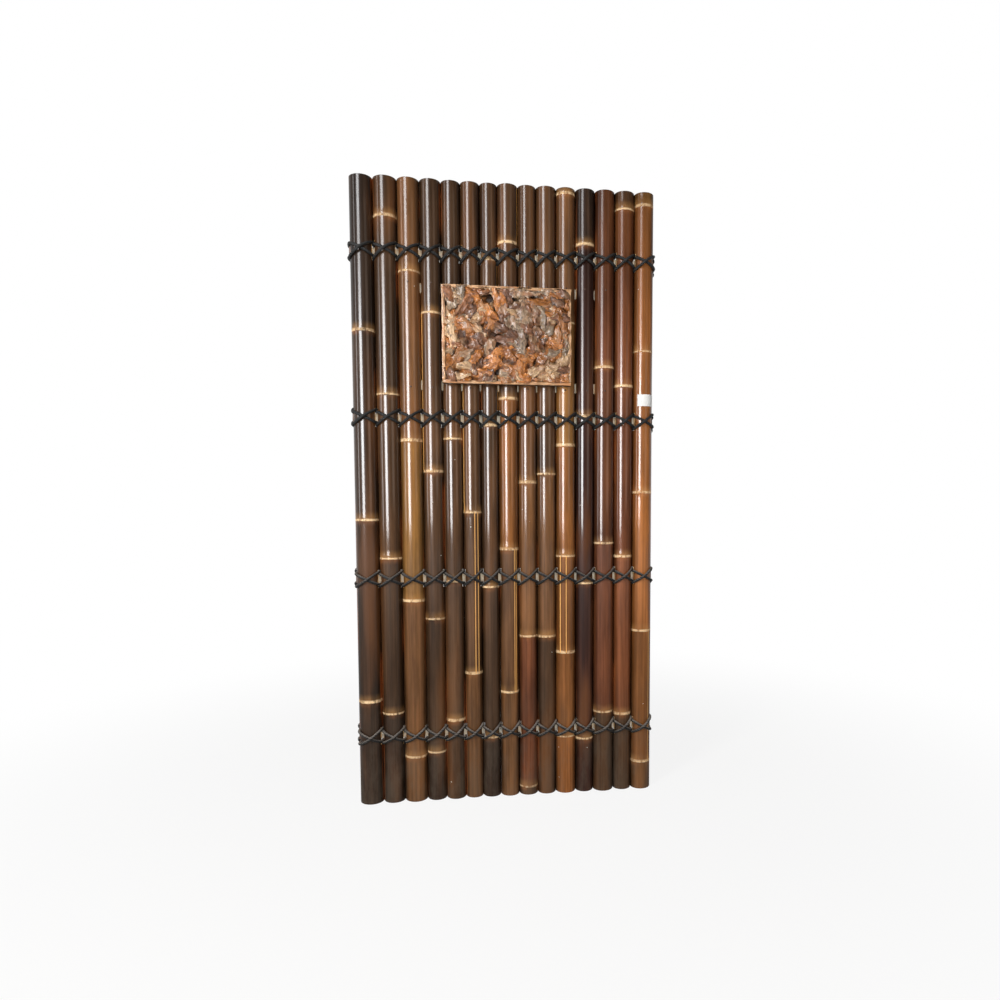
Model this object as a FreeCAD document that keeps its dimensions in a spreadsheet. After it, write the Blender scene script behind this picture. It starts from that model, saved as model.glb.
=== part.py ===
import FreeCAD, Part
import os
import math
import random

Vec = FreeCAD.Vector

doc = FreeCAD.newDocument("BambooFencePanel")
dims = doc.addObject("Spreadsheet::Sheet", "dims")

# Diameter of each split culm at mid height, left to right, and where its nodes are,
# in thousandths of the panel's height.
CULMS = [
    (66.0, [170, 466, 764]),
    (64.0, [149, 404, 666, 940]),
    (63.5, [75, 334, 593, 858]),
    (58.0, [81, 304, 544, 795]),
    (55.5, [133, 365, 597, 828]),
    (53.0, [211, 478, 744]),
    (51.5, [102, 355, 619, 882]),
    (57.0, [177, 417, 662, 909]),
    (54.5, [14, 271, 527, 783]),
    (56.5, [270, 541, 812]),
    (58.5, [98, 242, 405, 588, 787, 991]),
    (56.0, [92, 359, 636, 912]),
    (61.0, [138, 426, 717]),
    (57.0, [132, 403, 687, 972]),
    (60.0, [48, 276, 511, 745, 979]),
]
COUNT = len(CULMS)
ROWS = 4
SKIN_FACETS, HOLLOW_FACETS = 16, 10
RELIEF_FIRST, RELIEF_LAST = 5, 11
NAILED_FIRST, NAILED_LAST = 3, 13

SIZES = {
    "panel_height": 1800,
    "culm_gap": 0.6,
    "culm_wall": 6,
    "culm_taper": 0.03,
    "node_ridge": 1.6,
    "ridge_below": 5,
    "ridge_above": 9,
    "septum_thickness": 6,
    "row_margin": 200,
    "batten_height": 25,
    "batten_thickness": 10,
    "batten_lip": 2.5,
    "cord_size": 5,
    "cord_clearance": 0.4,
    "relief_width": 370,
    "relief_height": 275,
    "relief_clearance": 0.2,
    "board_thickness": 10,
    "strip_width": 9,
    "strip_depth": 14,
    "chip_gap": 1.5,
    "chip_depth_low": 9,
    "chip_depth_high": 22,
    "short_batten_height": 30,
    "short_batten_margin": 20,
}
next_row = 1


def cell(alias, content):
    """Write one named value into the sheet."""
    global next_row
    dims.set("A%d" % next_row, alias)
    dims.set("B%d" % next_row, str(content))
    dims.setAlias("B%d" % next_row, alias)
    next_row += 1


def value(alias):
    return float(dims.get(alias))


for alias, size in SIZES.items():
    cell(alias, size)
for number, (diameter, nodes) in enumerate(CULMS, 1):
    cell("culm_%02d_diameter" % number, diameter)
    for index, share in enumerate(nodes, 1):
        cell("culm_%02d_node_%d" % (number, index), "=panel_height * %d / 1000" % share)


def radius(number, height, sheet=""):
    """Radius of a culm at a height; butt and tip ends alternate along the row."""
    lean = "1 -" if number % 2 == 0 else "1 +"
    form = "({0}culm_{1:02d}_diameter / 2 * ({2} {0}culm_taper * (1 - 2 * ({3}) / {0}panel_height)))"
    return form.format(sheet, number, lean, height)


# The culms stand in a row around x = 0, each set off from its neighbour by the gap.
diameters = ["culm_%02d_diameter" % number for number in range(1, COUNT + 1)]
cell("field_width", "=" + " + ".join(diameters) + " + %d * culm_gap" % (COUNT - 1))
cell("culm_01_axis", "=(culm_01_diameter - field_width) / 2")
for number in range(2, COUNT + 1):
    pair = (number, number - 1, number - 1, number)
    cell(
        "culm_%02d_axis" % pair[0],
        "=culm_%02d_axis + (culm_%02d_diameter + culm_%02d_diameter) / 2 + culm_gap" % pair[1:],
    )

# Heights and depths of the lashing, measured from a row's middle and from the split plane.
cell("skin_corner", "=1 / cos(%g deg)" % (180 / SKIN_FACETS))
cell("hollow_corner", "=1 / cos(%g deg)" % (180 / HOLLOW_FACETS))
cell("cord_reach", "=cord_size / sqrt(2) + cord_clearance")
cell("cord_step", "=cord_size * sqrt(2) + cord_clearance")
cell("under_rise", "=batten_height / 2 + cord_reach")
cell("over_rise", "=under_rise + cord_step")
cell("under_back", "=batten_thickness + cord_reach")
cell("over_back", "=under_back + cord_step")
cell("notch_half", "=over_rise + cord_reach")
cell("lashing_width", "=field_width + culm_gap")
cell("batten_length", "=lashing_width + 2 * batten_lip")
cell("row_pitch", "=(panel_height - 2 * row_margin) / %d" % (ROWS - 1))
for row in range(1, ROWS + 1):
    cell("row_%d" % row, "=row_margin + %d * row_pitch" % (row - 1))

# The relief sits midway between the two upper rows, on the proudest crown behind it.
cell("relief_bottom", "=(row_%d + row_%d - relief_height) / 2" % (ROWS - 1, ROWS))
relief_top = "(relief_bottom + relief_height)"
for number in range(RELIEF_FIRST, RELIEF_LAST + 1):
    crowns = [radius(number, height) for height in ("relief_bottom", relief_top)]
    for index in range(1, len(CULMS[number - 1][1]) + 1):
        node = "culm_%02d_node_%d" % (number, index)
        crowns.append(
            "(%s > relief_bottom - ridge_above ? (%s < %s + ridge_below ? %s + node_ridge : 0) : 0)"
            % (node, node, relief_top, radius(number, node))
        )
    cell("culm_%02d_crown" % number, "=max(%s)" % "; ".join(crowns))
crowns = ["culm_%02d_crown" % number for number in range(RELIEF_FIRST, RELIEF_LAST + 1)]
cell("culm_reach", "=max(%s)" % "; ".join(crowns))
cell("board_back", "=culm_reach + relief_clearance")
cell("board_front", "=board_back + board_thickness")
cell("split_plane", "=(board_front + chip_depth_high - over_back - cord_reach) / 2")
cell("chip_field_width", "=relief_width - 2 * strip_width - chip_gap")
cell("chip_field_height", "=relief_height - 2 * strip_width - chip_gap")
doc.recompute()


def bound(obj, **expressions):
    """Bind properties to the sheet; a double underscore stands for a dot in a property path."""
    for path, expression in expressions.items():
        obj.setExpression(path.replace("__", "."), expression)
    return obj


def culm(number, nodes):
    """Half culm: rings lofted to a skin with node ridges, halved, hollowed between septa and notched."""
    name = "culm_%02d" % number
    mean = "dims.%s_diameter / 2" % name
    top = "dims.panel_height"
    stations = [("0", "")]
    floors, ceilings = ["0"], []
    for index in range(1, len(nodes) + 1):
        height = "dims.%s_node_%d" % (name, index)
        stations += [
            (height + " - dims.ridge_below", ""),
            (height, " + dims.node_ridge"),
            (height + " + dims.ridge_above", ""),
        ]
        ceilings.append(height + " - dims.septum_thickness / 2")
        floors.append(height + " + dims.septum_thickness / 2")
    stations.append((top, ""))
    ceilings.append(top)

    rings = []
    for index, (height, ridge) in enumerate(stations):
        ring = doc.addObject("Part::RegularPolygon", "%s_ring_%d" % (name, index))
        ring.Polygon = SKIN_FACETS
        ring.Placement.Rotation = FreeCAD.Rotation(Vec(0, 0, 1), 180 / SKIN_FACETS)
        bound(ring, Circumradius="(%s%s) * dims.skin_corner" % (radius(number, height, "dims."), ridge))
        bound(ring, Placement__Base__z=height)
        rings.append(ring)
    skin = doc.addObject("Part::Loft", name + "_skin")
    skin.Sections = rings
    skin.Solid = True
    skin.Ruled = True

    # The half keeps the front of the skin and planes the ridges level beside the neighbours.
    half = doc.addObject("Part::Wedge", name + "_half")
    half.Placement.Rotation = FreeCAD.Rotation(Vec(1, 0, 0), 90)
    low = radius(number, "0", "dims.") + " + dims.culm_gap / 4"
    high = radius(number, top, "dims.") + " + dims.culm_gap / 4"
    depth = "dims.%s_diameter" % name
    bound(half, Ymin="0", Ymax=top, Zmin="0", Zmax=depth, Z2min="0", Z2max=depth)
    bound(half, Xmin="-(%s)" % low, Xmax=low, X2min="-(%s)" % high, X2max=high)
    front = doc.addObject("Part::MultiCommon", name + "_front")
    front.Shapes = [skin, half]

    cutters = []
    for index, (floor, ceiling) in enumerate(zip(floors, ceilings)):
        hollow = doc.addObject("Part::Prism", "%s_hollow_%d" % (name, index))
        hollow.Polygon = HOLLOW_FACETS
        hollow.Placement.Rotation = FreeCAD.Rotation(Vec(0, 0, 1), 180 / HOLLOW_FACETS)
        middle = radius(number, "((%s) + (%s)) / 2" % (floor, ceiling), "dims.")
        bound(hollow, Circumradius="(%s - dims.culm_wall) * dims.hollow_corner" % middle)
        bound(hollow, Height="(%s) - (%s)" % (ceiling, floor), Placement__Base__z=floor)
        cutters.append(hollow)
    valley = "(%s + dims.culm_gap / 2)" % mean
    for side in ("-", ""):
        for row in range(1, ROWS + 1):
            notch = doc.addObject("Part::Box", "%s_notch_%d" % (name, len(cutters)))
            bound(notch, Length="2 * dims.cord_reach", Width=mean, Height="2 * dims.notch_half")
            bound(notch, Placement__Base__x="%s%s - dims.cord_reach" % (side, valley))
            bound(notch, Placement__Base__y="-%s" % mean)
            bound(notch, Placement__Base__z="dims.row_%d - dims.notch_half" % row)
            cutters.append(notch)
    removed = doc.addObject("Part::Compound", name + "_removed")
    removed.Links = cutters
    piece = doc.addObject("Part::Cut", name)
    piece.Label = name
    piece.Base = front
    piece.Tool = removed
    bound(piece, Placement__Base__x="dims.%s_axis" % name, Placement__Base__y="dims.split_plane")
    return piece


parts = [culm(number, nodes) for number, (diameter, nodes) in enumerate(CULMS, 1)]


def box(name, length, width, height, x, y, z):
    """Rectangular wooden piece; sizes and place are sheet expressions."""
    piece = doc.addObject("Part::Box", name)
    piece.Label = name
    bound(piece, Length=length, Width=width, Height=height)
    bound(piece, Placement__Base__x=x, Placement__Base__y=y, Placement__Base__z=z)
    parts.append(piece)
    return piece


# Battens lie against the culms' split faces.
for row in range(1, ROWS + 1):
    box(
        "lashing_batten_%d" % row,
        "dims.batten_length",
        "dims.batten_thickness",
        "dims.batten_height",
        "-dims.batten_length / 2",
        "dims.split_plane",
        "dims.row_%d - dims.batten_height / 2" % row,
    )
short_start = "dims.culm_%02d_axis - dims.short_batten_margin" % NAILED_FIRST
short_length = "dims.culm_%02d_axis - dims.culm_%02d_axis + 2 * dims.short_batten_margin"
for name, level in (("lower", "0"), ("upper", "dims.relief_height")):
    box(
        "relief_batten_" + name,
        short_length % (NAILED_LAST, NAILED_FIRST),
        "dims.batten_thickness",
        "dims.short_batten_height",
        short_start,
        "dims.split_plane",
        "dims.relief_bottom + %s - dims.short_batten_height / 2" % level,
    )


def mitred(points, size):
    """Square cord along a bent line, each bend cut on its bisecting plane."""
    runs = [(b - a).normalize() for a, b in zip(points, points[1:])]
    across = runs[0].cross(Vec(1, 0, 0)).normalize()
    beside = runs[0].cross(across)
    half = size / 2
    corners = ((half, half), (half, -half), (-half, -half), (-half, half))
    ring = [points[0] + across * a + beside * b for a, b in corners]
    faces = [Part.Face(Part.makePolygon(ring + ring[:1]))]
    for index, run in enumerate(runs):
        end = points[index + 1]
        normal = run + runs[index + 1] if index + 1 < len(runs) else run
        far = [p + run * ((end - p).dot(normal) / run.dot(normal)) for p in ring]
        for k in range(4):
            turn = (k + 1) % 4
            loop = [ring[k], ring[turn], far[turn], far[k], ring[k]]
            faces.append(Part.Face(Part.makePolygon(loop)))
        ring = far
    faces.append(Part.Face(Part.makePolygon(ring + ring[:1])))
    solid = Part.Solid(Part.Shell(faces))
    if solid.Volume < 0:
        solid.reverse()
    return solid


CROWN_BEND = math.radians(40)


def lashing(rise, back, lift, slant):
    """Line of one cord: over every culm aslant, through the notches and behind the batten."""
    reach = value("cord_reach")
    edge = value("lashing_width") / 2
    valleys = [-edge]
    for number in range(1, COUNT):
        right = value("culm_%02d_axis" % number) + value("culm_%02d_diameter" % number) / 2
        valleys.append(right + value("culm_gap") / 2)
    valleys.append(edge)
    points = [Vec(-edge, back, -slant * rise), Vec(-edge, back, slant * rise)]
    for number in range(1, COUNT + 1):
        left, right = valleys[number - 1], valleys[number]
        axis = value("culm_%02d_axis" % number)
        radius = value("culm_%02d_diameter" % number) / 2 * (1 + value("culm_taper"))
        crown = radius + value("node_ridge") + reach + lift
        bend = crown * math.tan(CROWN_BEND / 2)

        def flank(x):
            return (crown - abs(x - axis) * math.sin(CROWN_BEND)) / math.cos(CROWN_BEND)

        front = [(left, flank(left)), (axis - bend, crown), (axis + bend, crown), (right, flank(right))]
        for x, forward in front:
            along = (x - left) / (right - left)
            points.append(Vec(x, -forward, slant * rise * (1 - 2 * along)))
        points.append(Vec(right, back, -slant * rise))
        points.append(Vec(right, back, slant * rise))
    return mitred(points, value("cord_size"))


# Two cords to a row: the under cord runs down to the right, the over cord crosses it.
under = lashing(value("under_rise"), value("under_back"), 0, 1)
over = lashing(value("over_rise"), value("over_back"), value("cord_step"), -1)
for row in range(1, ROWS + 1):
    for name, shape in (("under_cord_%d" % row, under), ("over_cord_%d" % row, over)):
        cord = doc.addObject("Part::Feature", name)
        cord.Label = name
        cord.Shape = shape.copy()
        bound(cord, Placement__Base__y="dims.split_plane", Placement__Base__z="dims.row_%d" % row)
        parts.append(cord)

# Relief field: backing board on the culm crowns, a frame of strips and split root-wood chips.
board_y = "dims.split_plane - dims.board_front"
box(
    "relief_board",
    "dims.relief_width",
    "dims.board_thickness",
    "dims.relief_height",
    "-dims.relief_width / 2",
    board_y,
    "dims.relief_bottom",
)
strip_y = board_y + " - dims.strip_depth"
for name, level in (("bottom", "0"), ("top", "dims.relief_height - dims.strip_width")):
    box(
        "relief_strip_" + name,
        "dims.relief_width",
        "dims.strip_depth",
        "dims.strip_width",
        "-dims.relief_width / 2",
        strip_y,
        "dims.relief_bottom + " + level,
    )
for name, x in (("left", "-dims.relief_width / 2"), ("right", "dims.relief_width / 2 - dims.strip_width")):
    box(
        "relief_strip_" + name,
        "dims.strip_width",
        "dims.strip_depth",
        "dims.relief_height - 2 * dims.strip_width",
        x,
        strip_y,
        "dims.relief_bottom + dims.strip_width",
    )

CHIP_ROWS, CHIP_COLUMNS = 5, 5
rng = random.Random(7)


def shares(count, wander):
    """Fractions from 0 to 1 that divide a length into uneven pieces."""
    inner = [(k + rng.uniform(-wander, wander)) / count for k in range(1, count)]
    return [0.0] + inner + [1.0]


levels = shares(CHIP_ROWS, 0.12)
for row in range(CHIP_ROWS):
    joints = shares(CHIP_COLUMNS, 0.34)
    for column in range(CHIP_COLUMNS):
        name = "root_chip_%02d" % (row * CHIP_COLUMNS + column + 1)
        chip = doc.addObject("Part::Wedge", name)
        chip.Label = name
        width, height = "dims.chip_field_width", "dims.chip_field_height"
        left = "(%s * %.3f + dims.chip_gap / 2)" % (width, joints[column] - 0.5)
        right = "(%s * %.3f - dims.chip_gap / 2)" % (width, joints[column + 1] - 0.5)
        low = "(%s * %.3f + dims.chip_gap / 2)" % (height, levels[row])
        high = "(%s * %.3f - dims.chip_gap / 2)" % (height, levels[row + 1])
        inset = [rng.uniform(0.04, 0.34) for side in range(4)]
        deep = rng.uniform(0, 1) if row or column else 1.0
        bound(
            chip,
            Xmin=left,
            Xmax=right,
            Zmin=low,
            Zmax=high,
            X2min="%s + (%s - %s) * %.2f" % (left, right, left, inset[0]),
            X2max="%s - (%s - %s) * %.2f" % (right, right, left, inset[1]),
            Z2min="%s + (%s - %s) * %.2f" % (low, high, low, inset[2]),
            Z2max="%s - (%s - %s) * %.2f" % (high, high, low, inset[3]),
            Ymin="0",
            Ymax="dims.chip_depth_low + (dims.chip_depth_high - dims.chip_depth_low) * %.2f" % deep,
            Placement__Base__y=board_y,
            Placement__Base__z="dims.relief_bottom + dims.strip_width + dims.chip_gap / 2",
        )
        chip.Placement.Rotation = FreeCAD.Rotation(Vec(0, 0, 1), 180)
        parts.append(chip)

doc.recompute()
for obj in doc.Objects:
    if "Invalid" in obj.State or "Error" in obj.State:
        raise RuntimeError("%s did not compute: %s" % (obj.Name, obj.State))
os.makedirs("parts", exist_ok=True)
for piece in parts:
    if piece.Shape.isNull() or not piece.Shape.isValid():
        raise RuntimeError("%s has no valid shape" % piece.Label)
    piece.Shape.exportStep("parts/%s.step" % piece.Label)
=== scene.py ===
import bpy
import math
import random
from mathutils import Matrix, Vector


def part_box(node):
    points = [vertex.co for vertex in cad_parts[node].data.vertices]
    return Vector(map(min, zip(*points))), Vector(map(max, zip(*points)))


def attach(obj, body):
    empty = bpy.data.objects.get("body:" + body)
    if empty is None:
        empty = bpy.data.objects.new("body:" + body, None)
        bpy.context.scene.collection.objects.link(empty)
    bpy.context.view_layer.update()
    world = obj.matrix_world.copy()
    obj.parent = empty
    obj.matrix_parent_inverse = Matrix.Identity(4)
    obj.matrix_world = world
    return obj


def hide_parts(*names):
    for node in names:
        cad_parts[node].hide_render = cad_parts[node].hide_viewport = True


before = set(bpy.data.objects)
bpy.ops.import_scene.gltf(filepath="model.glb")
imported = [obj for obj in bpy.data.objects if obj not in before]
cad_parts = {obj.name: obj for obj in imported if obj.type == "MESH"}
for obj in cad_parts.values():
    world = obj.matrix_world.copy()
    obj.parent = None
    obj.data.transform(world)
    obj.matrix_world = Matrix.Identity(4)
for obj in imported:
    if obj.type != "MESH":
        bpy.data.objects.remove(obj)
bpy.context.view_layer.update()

# Studio: the panel stands upright on white paper and is seen from a little to the left of its
# middle at chest height. Tall windows draw the upright streaks on the lacquer and end above the
# panel's lowest third, and two fill lamps that the lacquer doesn't mirror light the wood.
UPRIGHT = math.radians(90)
CAMERA_PLACE = (-0.110, -2.082, 0.884)
CAMERA_TURN, CAMERA_TILT = math.radians(8.08), math.radians(-4.01)
LENS, SENSOR, LENS_SHIFT = 25.16, 36, (-0.0697, 0.0533)
scene = bpy.context.scene
scene.view_settings.view_transform = "Standard"
lens = bpy.data.cameras.new("camera")
lens.lens, lens.sensor_width = LENS, SENSOR
lens.shift_x, lens.shift_y = LENS_SHIFT
camera = bpy.data.objects.new("camera", lens)
camera.location = CAMERA_PLACE
camera.rotation_euler = (UPRIGHT + CAMERA_TILT, 0, -CAMERA_TURN)
scene.collection.objects.link(camera)
scene.camera = camera

# Name, place, width, height, power, colour, and whether it shows as a streak or lights the wood.
WINDOWS = [
    ("left_window", (-1.42, -2.45, 1.98), 1.05, 2.45, 225, (0.97, 0.98, 1.0), "streak"),
    ("left_glow", (-1.44, -2.50, 1.98), 2.00, 2.50, 34, (0.98, 0.98, 1.0), "streak"),
    ("side_window", (-2.30, -0.75, 1.98), 0.40, 2.45, 24, (0.98, 0.98, 1.0), "streak"),
    ("right_window", (1.90, -2.30, 2.00), 1.30, 2.2, 14, (1.0, 0.88, 0.76), "streak"),
    ("left_fill", (-1.93, -2.30, 1.98), 0.60, 2.45, 78, (1.0, 0.98, 0.95), "light"),
    ("front_fill", (0.20, -2.70, 1.10), 1.30, 1.8, 25, (1.0, 0.99, 0.97), "light"),
]
for name, place, width, height, power, colour, use in WINDOWS:
    lamp = bpy.data.lights.new(name, "AREA")
    lamp.shape = "RECTANGLE"
    lamp.size, lamp.size_y = width, height
    lamp.energy = power
    lamp.color = colour
    window = bpy.data.objects.new(name, lamp)
    window.location = place
    window.rotation_euler = (UPRIGHT, 0, math.atan2(place[0], -place[1]))
    window.visible_glossy = use == "streak"
    window.visible_diffuse = use == "light"
    scene.collection.objects.link(window)


# Floor: seamless white paper under the panel. The camera sees it white, and near the culms' feet
# a share of its own shading stays, so that their soft shadow is kept.
FLOOR_SIZE = 24
SHADOW_NEAR, SHADOW_FAR, WHITE_NEAR = 0.6, 2.4, 0.86


class Shade:
    """One output of a shader node; arithmetic on it adds Math nodes to its tree."""

    def __init__(self, tree, socket=None):
        self.tree, self.socket = tree, socket

    def node(self, kind, inputs=None, out=0, **settings):
        """One output of a new node; its settings are made before its inputs."""
        made = self.tree.nodes.new("ShaderNode" + kind)
        for name, setting in settings.items():
            setattr(made, name, setting)
        for key, given in (inputs or {}).items():
            if isinstance(given, Shade):
                self.tree.links.new(given.socket, made.inputs[key])
            else:
                made.inputs[key].default_value = given
        return Shade(self.tree, made.outputs[out])

    def math(self, operation, *terms):
        """A Math node on values and sockets."""
        return self.node("Math", dict(enumerate(terms)), operation=operation)

    def __add__(self, other):
        return self.math("ADD", self, other)

    def __sub__(self, other):
        return self.math("SUBTRACT", self, other)

    def __rsub__(self, other):
        return self.math("SUBTRACT", other, self)

    def __mul__(self, other):
        return self.math("MULTIPLY", self, other)

    def __truediv__(self, other):
        return self.math("DIVIDE", self, other)

    def __rtruediv__(self, other):
        return self.math("DIVIDE", other, self)

    def __abs__(self):
        return self.math("ABSOLUTE", self)

    __radd__ = __add__
    __rmul__ = __mul__

    def most(self, other):
        """The larger of two values."""
        return self.math("MAXIMUM", self, other)

    def part(self, index):
        """One of the three numbers of a vector."""
        return self.node("SeparateXYZ", {0: self}, out=index)

    def kept(self, name, out="Vector"):
        """What the mesh keeps under a name."""
        return self.node("Attribute", out=out, attribute_name=name)

    def ray(self, kind):
        """Whether the ray is of a kind."""
        return self.node("LightPath", out="Is %s Ray" % kind)

    def ramp(self, start, end, low=0.0, high=1.0):
        """Smooth step from low at start to high at end."""
        inputs = {0: self, 1: start, 2: end, 3: low, 4: high}
        return self.node("MapRange", inputs, interpolation_type="SMOOTHSTEP")

    def between(self, first, second):
        """A colour between two, with this value as the share of the second."""
        return self.node("Mix", {0: self, 6: first, 7: second}, out=2, data_type="RGBA")

    def mix(self, other, share):
        """This colour going over to another one by a share."""
        return share.between(self, other)

    def tinted(self, value):
        """This colour made lighter or darker by a value."""
        grey = self.node("CombineXYZ", {0: value, 1: value, 2: value})
        inputs = {0: 1.0, 6: self, 7: grey}
        return self.node("Mix", inputs, out=2, data_type="RGBA", blend_type="MULTIPLY")


def finish(name, roughness, coat=0.0, coat_roughness=0.1, metallic=0.0):
    """New material, its shader and the Object coordinates."""
    material = bpy.data.materials.new(name)
    material.use_nodes = True
    tree = material.node_tree
    shader = tree.nodes["Principled BSDF"]
    shader.inputs["Roughness"].default_value = roughness
    shader.inputs["Coat Weight"].default_value = coat
    shader.inputs["Coat Roughness"].default_value = coat_roughness
    shader.inputs["Metallic"].default_value = metallic
    place = Shade(tree).node("TexCoord", out="Object")
    return material, shader, place


def noise(place, scale, detail=3.0, rough=0.55):
    """Noise value; the scale is one number, or one for each axis."""
    scale = scale if isinstance(scale, tuple) else (scale, scale, scale)
    spread = place.node("VectorMath", {0: place, 1: scale}, operation="MULTIPLY")
    inputs = {"Vector": spread, "Scale": 1.0, "Detail": detail, "Roughness": rough}
    return place.node("TexNoise", inputs)


def feed(shader, socket, shade):
    """Link a value to one socket of a shader or an output."""
    shade.tree.links.new(shade.socket, shader.inputs[socket])


def srgb(red, green, blue):
    """Colour as it looks on screen, 0 to 255, as linear light."""
    parts = [c / 255 for c in (red, green, blue)]
    linear = [c / 12.92 if c <= 0.04045 else ((c + 0.055) / 1.055) ** 2.4 for c in parts]
    return (*linear, 1.0)


bpy.ops.object.select_all(action="DESELECT")
bpy.ops.mesh.primitive_plane_add(size=FLOOR_SIZE, location=(0, 0, 0))
floor = bpy.context.object
floor.name = "floor"
material, shader, place = finish("white_paper", 0.9)
feed(shader, "Base Color", noise(place, 60).between(srgb(240, 240, 239), srgb(246, 246, 245)))
seen = place.ray("Camera").most(place.ray("Glossy")).most(place.ray("Transmission"))
away = place.node("VectorMath", {0: place}, out=1, operation="LENGTH")
away = away.ramp(SHADOW_NEAR, SHADOW_FAR, WHITE_NEAR, 1.0)
glow = place.node("Emission", {"Color": (1, 1, 1, 1), "Strength": 1.0})
shaded = Shade(place.tree, shader.outputs[0])
surface = place.node("MixShader", {0: seen * away, 1: shaded, 2: glow})
feed(material.node_tree.nodes["Material Output"], "Surface", surface)
floor.data.materials.append(material)


# Room: the camera sees it white all round. The lacquer mirrors white behind the panel and a dark
# front side, so that the windows stand out in it, and the room gives a little even light.
world = bpy.data.worlds.new("studio")
scene.world = world
world.use_nodes = True
sky = Shade(world.node_tree)
backward = sky.node("TexCoord", out="Generated").part(1)
mirrored = backward.ramp(-0.35, 0.25, 0.10, 1.0)
ambient = backward.ramp(-1.0, 0.2, 0.29, 0.13)
bounce = sky.ray("Glossy").most(sky.ray("Transmission"))
level = sky.ray("Camera").most((bounce * mirrored).most(ambient * (1 - bounce)))
background = world.node_tree.nodes["Background"]
background.inputs["Color"].default_value = (1, 1, 1, 1)
feed(background, "Strength", level)


# Culms: fifteen split canes of stained and lacquered bamboo stand side by side, butt and tip ends
# in turn. Each keeps its node ridges and half septa and has saw cuts at its edges for the cords.
PANEL_HEIGHT = 1.8
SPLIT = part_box("lashing_batten_1")[0][1]
WALL, SEPTUM, TAPER = 0.006, 0.006, 0.03
SKIN_SIDES, SKIN_EASE, SOFT_END, TOP_CLEAR = 64, 0.00032, 0.0008, 0.003
SKIN_DEPTH, SKIN_FACING = 0.0012, 0.6
HOLLOW_SIDES, HOLLOW_ROUND, END_MARGIN = 32, 0.005, 0.03
VALLEY_GAP = 0.0006
ROWS = [0.2, 0.2 + 1.4 / 3, 0.2 + 2.8 / 3, 1.6]
NOTCH_HALF, NOTCH_REACH = 0.0264, 0.0047
# The short battens behind the relief show as pale slivers in narrow cuts between the canes.
SLOT_LEVELS = []
for name in ("lower", "upper"):
    low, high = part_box("relief_batten_" + name)
    SLOT_LEVELS.append((low[2] + high[2]) / 2)
SLOT_FIRST, SLOT_LAST = 3, 13
SLOT_WIDTH, SLOT_HEIGHT = 0.0046, 0.029
# Stains from near black through brown to red and amber, each with a letter for the table below.
STAINS = {
    "j": srgb(46, 33, 24), "k": srgb(56, 40, 29), "p": srgb(50, 28, 21), "e": srgb(66, 46, 30),
    "d": srgb(78, 54, 35), "m": srgb(93, 63, 39), "b": srgb(107, 72, 43), "g": srgb(127, 89, 45),
    "w": srgb(83, 48, 29), "r": srgb(98, 56, 34), "s": srgb(116, 67, 39), "o": srgb(123, 77, 39),
    "a": srgb(146, 90, 45),
}
# Diameter in mm, node heights in thousandths, stain of each length from the foot up, slot.
CULMS = [
    (66.0, [170, 466, 764], "kjkj", "culm_black"),
    (64.0, [149, 404, 666, 940], "kedee", "culm_dark"),
    (63.5, [75, 334, 593, 858], "bbgbb", "culm_golden"),
    (58.0, [81, 304, 544, 795], "kedde", "culm_dark"),
    (55.5, [133, 365, 597, 828], "eddme", "culm_dark"),
    (53.0, [211, 478, 744], "bdme", "culm_brown"),
    (51.5, [102, 355, 619, 882], "keedd", "culm_black"),
    (57.0, [177, 417, 662, 909], "bmodd", "culm_brown"),
    (54.5, [14, 271, 527, 783], "drbmm", "culm_brown"),
    (56.5, [270, 541, 812], "ebdm", "culm_dark"),
    (58.5, [98, 242, 405, 588, 787, 991], "aooogbd", "culm_orange"),
    (56.0, [92, 359, 636, 912], "ppppk", "culm_black"),
    (61.0, [138, 426, 717], "drwr", "culm_red"),
    (57.0, [132, 403, 687, 972], "dsrsm", "culm_red"),
    (60.0, [48, 276, 511, 745, 979], "boaaag", "culm_orange"),
]
# Profile of a node: height from the ring and how proud of the cane it stands, in mm.
NODE_PROFILE = [
    (-16, 0.0), (-7, 0.2), (-3.2, 0.8), (-1.6, 1.5), (-0.3, 1.6), (0, 1.45), (0.9, 0.85),
    (2.4, 0.8), (5, 1.3), (9, 1.0), (16, 0.35), (26, 0.0),
]
# Pale groove lines: culm and length, then their two places across the cane and how strong.
# A line that isn't there lies nowhere on the cane.
NOWHERE = 9.0
GROOVES = {
    (6, 1): (0.24, 0.58, 0.9), (6, 2): (-0.9, NOWHERE, 0.7), (8, 1): (0.52, 0.70, 0.8),
    (11, 2): (-0.62, -0.04, 0.9), (15, 1): (0.64, NOWHERE, 0.6), (4, 3): (-0.93, NOWHERE, 0.8),
    (8, 4): (0.95, NOWHERE, 0.7), (7, 3): (0.95, NOWHERE, 0.6),
}
NO_GROOVE = (NOWHERE, NOWHERE, 0.0)


def alone(obj):
    """Make one object the only one that an operator acts on."""
    bpy.ops.object.select_all(action="DESELECT")
    obj.select_set(True)
    bpy.context.view_layer.objects.active = obj


def apply_all(obj):
    """Apply an object's modifiers in their order."""
    alone(obj)
    for modifier in list(obj.modifiers):
        bpy.ops.object.modifier_apply(modifier=modifier.name)


def cane_radius(number, diameter, height):
    """Radius of a cane at a height; butt and tip ends alternate along the row."""
    lean = 1 if number % 2 else -1
    return diameter / 2000 * (1 + lean * TAPER * (1 - 2 * height / PANEL_HEIGHT))


field_width = sum(culm[0] for culm in CULMS) / 1000 + VALLEY_GAP * (len(CULMS) - 1)
axes, left_edge = [], -field_width / 2
for diameter, shares, stains, slot in CULMS:
    axes.append(left_edge + diameter / 2000)
    left_edge += diameter / 1000 + VALLEY_GAP


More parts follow.
